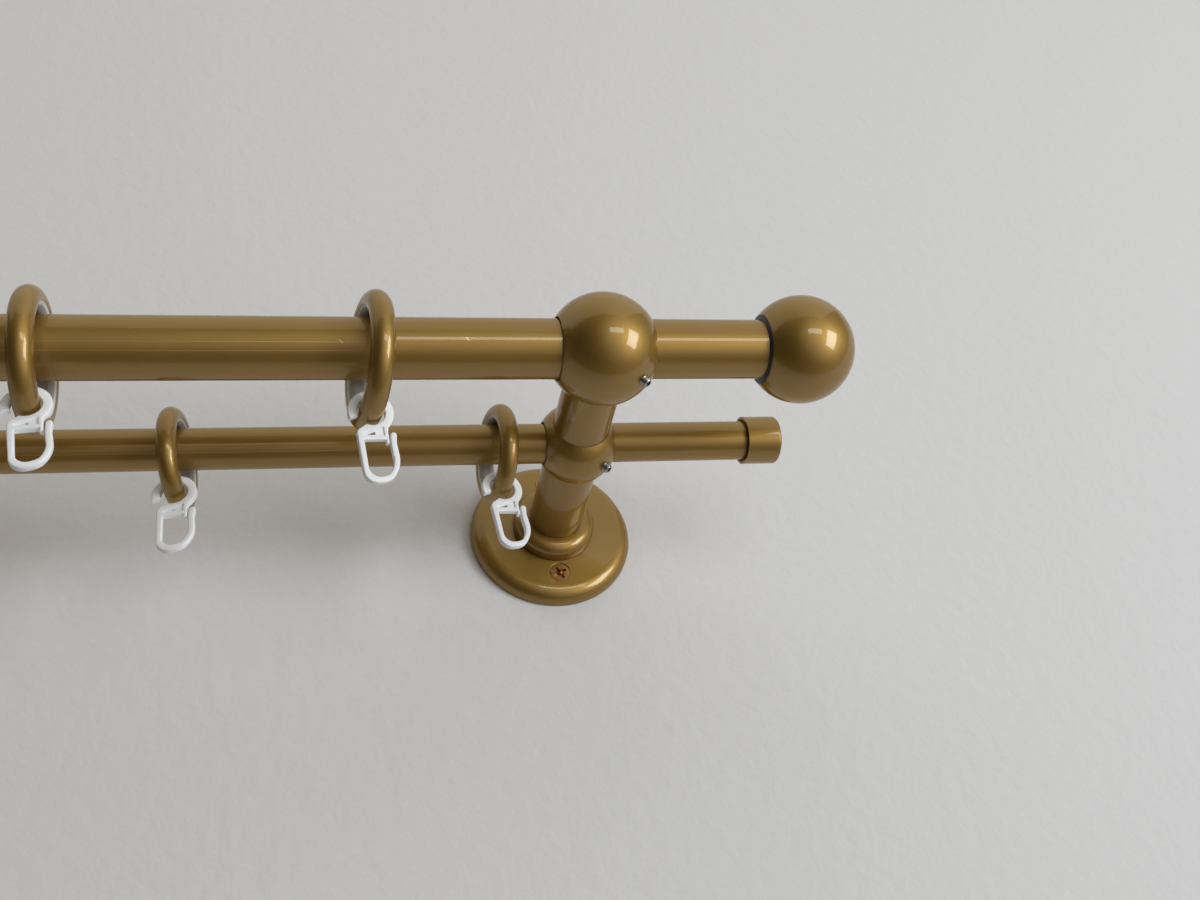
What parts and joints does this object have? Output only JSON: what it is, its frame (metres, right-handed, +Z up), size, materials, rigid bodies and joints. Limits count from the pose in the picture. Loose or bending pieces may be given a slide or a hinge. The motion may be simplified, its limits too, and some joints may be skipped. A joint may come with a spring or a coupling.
{
  "type": "double curtain pole",
  "caption": "Double curtain pole: a thick front tube with ball finials and a thin rear tube on two ball-jointed wall brackets, with lined sliding rings and curtain hooks.",
  "frame": {"origin": "on the wall, midway between the two brackets and level with their arms", "axes": "+X along the poles to the right as seen from the room, +Y into the wall, +Z up"},
  "size_m": [1.247, 0.2221, 0.1101],
  "materials": {
    "bronze_lacquer": "satin",
    "ring_lacquer": "satin",
    "liner_plastic": "matte",
    "hook_plastic": "satin",
    "bush_plastic": "matte",
    "screw_steel": "satin",
    "screw_brass": "satin"
  },
  "bodies": {
    "poles_and_brackets": {"wall_flange_left": "bronze_lacquer", "arm_collar_left": "bronze_lacquer", "arm_tube_left": "bronze_lacquer", "rear_holder_left": "bronze_lacquer", "front_holder_left": "bronze_lacquer", "finial_bush_left": "bush_plastic", "finial_ball_left": "bronze_lacquer", "end_cap_left": "bronze_lacquer", "wall_flange_right": "bronze_lacquer", "arm_collar_right": "bronze_lacquer", "arm_tube_right": "bronze_lacquer", "rear_holder_right": "bronze_lacquer", "front_holder_right": "bronze_lacquer", "finial_bush_right": "bush_plastic", "finial_ball_right": "bronze_lacquer", "end_cap_right": "bronze_lacquer", "arm_plugs": "screw_steel", "flange_bolts": "screw_steel", "holder_screws": "screw_steel", "set_screws": "screw_steel", "wall_screws": "screw_brass", "front_pole": "bronze_lacquer", "rear_pole": "bronze_lacquer"},
    "front_runner_1": {"front_ring_1": "ring_lacquer", "front_liner_1": "liner_plastic"},
    "front_hanger_1": {"front_hook_1": "hook_plastic"},
    "front_runner_2": {"front_ring_2": "ring_lacquer", "front_liner_2": "liner_plastic"},
    "front_hanger_2": {"front_hook_2": "hook_plastic"},
    "front_runner_3": {"front_ring_3": "ring_lacquer", "front_liner_3": "liner_plastic"},
    "front_hanger_3": {"front_hook_3": "hook_plastic"},
    "front_runner_4": {"front_ring_4": "ring_lacquer", "front_liner_4": "liner_plastic"},
    "front_hanger_4": {"front_hook_4": "hook_plastic"},
    "front_runner_5": {"front_ring_5": "ring_lacquer", "front_liner_5": "liner_plastic"},
    "front_hanger_5": {"front_hook_5": "hook_plastic"},
    "front_runner_6": {"front_ring_6": "ring_lacquer", "front_liner_6": "liner_plastic"},
    "front_hanger_6": {"front_hook_6": "hook_plastic"},
    "rear_runner_1": {"rear_ring_1": "ring_lacquer", "rear_liner_1": "liner_plastic"},
    "rear_hanger_1": {"rear_hook_1": "hook_plastic"},
    "rear_runner_2": {"rear_ring_2": "ring_lacquer", "rear_liner_2": "liner_plastic"},
    "rear_hanger_2": {"rear_hook_2": "hook_plastic"},
    "rear_runner_3": {"rear_ring_3": "ring_lacquer", "rear_liner_3": "liner_plastic"},
    "rear_hanger_3": {"rear_hook_3": "hook_plastic"},
    "rear_runner_4": {"rear_ring_4": "ring_lacquer", "rear_liner_4": "liner_plastic"},
    "rear_hanger_4": {"rear_hook_4": "hook_plastic"},
    "rear_runner_5": {"rear_ring_5": "ring_lacquer", "rear_liner_5": "liner_plastic"},
    "rear_hanger_5": {"rear_hook_5": "hook_plastic"},
    "rear_runner_6": {"rear_ring_6": "ring_lacquer", "rear_liner_6": "liner_plastic"},
    "rear_hanger_6": {"rear_hook_6": "hook_plastic"}
  },
  "joints": [
    {"name": "front_ring_1_slide", "type": "slide", "parent": "poles_and_brackets", "child": "front_runner_1", "axis": [1, 0, 0], "range_m": [-0.108, 0.07]},
    {"name": "front_hook_1_swing", "type": "hinge", "parent": "front_runner_1", "child": "front_hanger_1", "pos_m": [0.39248, -0.15063, -0.03223], "axis": [0.1648, -0.9642, -0.2079], "range_deg": [-40, 40]},
    {"name": "front_ring_2_slide", "type": "slide", "parent": "poles_and_brackets", "child": "front_runner_2", "axis": [1, 0, 0], "range_m": [-0.132, 0.108]},
    {"name": "front_hook_2_swing", "type": "hinge", "parent": "front_runner_2", "child": "front_hanger_2", "pos_m": [0.25643, -0.15764, -0.03275], "axis": [-0.0418, -0.9972, 0.0628], "range_deg": [-40, 40]},
    {"name": "front_ring_3_slide", "type": "slide", "parent": "poles_and_brackets", "child": "front_runner_3", "axis": [1, 0, 0], "range_m": [-0.126, 0.132]},
    {"name": "front_hook_3_swing", "type": "hinge", "parent": "front_runner_3", "child": "front_hanger_3", "pos_m": [0.0959, -0.15463, -0.03276], "axis": [0.0697, -0.9962, -0.0523], "range_deg": [-40, 40]},
    {"name": "front_ring_4_slide", "type": "slide", "parent": "poles_and_brackets", "child": "front_runner_4", "axis": [1, 0, 0], "range_m": [-0.135, 0.126]},
    {"name": "front_hook_4_swing", "type": "hinge", "parent": "front_runner_4", "child": "front_hanger_4", "pos_m": [-0.058, -0.156, -0.0328], "axis": [-0.0523, -0.9986, 0], "range_deg": [-40, 40]},
    {"name": "front_ring_5_slide", "type": "slide", "parent": "poles_and_brackets", "child": "front_runner_5", "axis": [1, 0, 0], "range_m": [-0.128, 0.135]},
    {"name": "front_hook_5_swing", "type": "hinge", "parent": "front_runner_5", "child": "front_hanger_5", "pos_m": [-0.22097, -0.15691, -0.03278], "axis": [0.0349, -0.9988, 0.0349], "range_deg": [-40, 40]},
    {"name": "front_ring_6_slide", "type": "slide", "parent": "poles_and_brackets", "child": "front_runner_6", "axis": [1, 0, 0], "range_m": [-0.089, 0.128]},
    {"name": "front_hook_6_swing", "type": "hinge", "parent": "front_runner_6", "child": "front_hanger_6", "pos_m": [-0.37684, -0.15418, -0.03274], "axis": [-0.0869, -0.9938, -0.0698], "range_deg": [-40, 40]},
    {"name": "rear_ring_1_slide", "type": "slide", "parent": "poles_and_brackets", "child": "rear_runner_1", "axis": [1, 0, 0], "range_m": [-0.122, 0.012]},
    {"name": "rear_hook_1_swing", "type": "hinge", "parent": "rear_runner_1", "child": "rear_hanger_1", "pos_m": [0.45876, -0.08478, -0.0275], "axis": [0.1564, -0.9876, -0.0105], "range_deg": [-40, 40]},
    {"name": "rear_ring_2_slide", "type": "slide", "parent": "poles_and_brackets", "child": "rear_runner_2", "axis": [1, 0, 0], "range_m": [-0.14, 0.122]},
    {"name": "rear_hook_2_swing", "type": "hinge", "parent": "rear_runner_2", "child": "rear_hanger_2", "pos_m": [0.30838, -0.08725, -0.02738], "axis": [-0.1829, -0.9774, 0.1063], "range_deg": [-40, 40]},
    {"name": "rear_ring_3_slide", "type": "slide", "parent": "poles_and_brackets", "child": "rear_runner_3", "axis": [1, 0, 0], "range_m": [-0.147, 0.14]},
    {"name": "rear_hook_3_swing", "type": "hinge", "parent": "rear_runner_3", "child": "rear_hanger_3", "pos_m": [0.13996, -0.08425, -0.02749], "axis": [0.0523, -0.998, -0.0349], "range_deg": [-40, 40]},
    {"name": "rear_ring_4_slide", "type": "slide", "parent": "poles_and_brackets", "child": "rear_runner_4", "axis": [1, 0, 0], "range_m": [-0.145, 0.147]},
    {"name": "rear_hook_4_swing", "type": "hinge", "parent": "rear_runner_4", "child": "rear_hanger_4", "pos_m": [-0.03508, -0.08612, -0.02747], "axis": [-0.0697, -0.9962, 0.0523], "range_deg": [-40, 40]},
    {"name": "rear_ring_5_slide", "type": "slide", "parent": "poles_and_brackets", "child": "rear_runner_5", "axis": [1, 0, 0], "range_m": [-0.148, 0.145]},
    {"name": "rear_hook_5_swing", "type": "hinge", "parent": "rear_runner_5", "child": "rear_hanger_5", "pos_m": [-0.208, -0.085, -0.0275], "axis": [0.0872, -0.9962, 0], "range_deg": [-40, 40]},
    {"name": "rear_ring_6_slide", "type": "slide", "parent": "poles_and_brackets", "child": "rear_runner_6", "axis": [1, 0, 0], "range_m": [-0.089, 0.148]},
    {"name": "rear_hook_6_swing", "type": "hinge", "parent": "rear_runner_6", "child": "rear_hanger_6", "pos_m": [-0.38396, -0.08387, -0.02747], "axis": [-0.0349, -0.998, -0.0523], "range_deg": [-40, 40]}
  ]
}
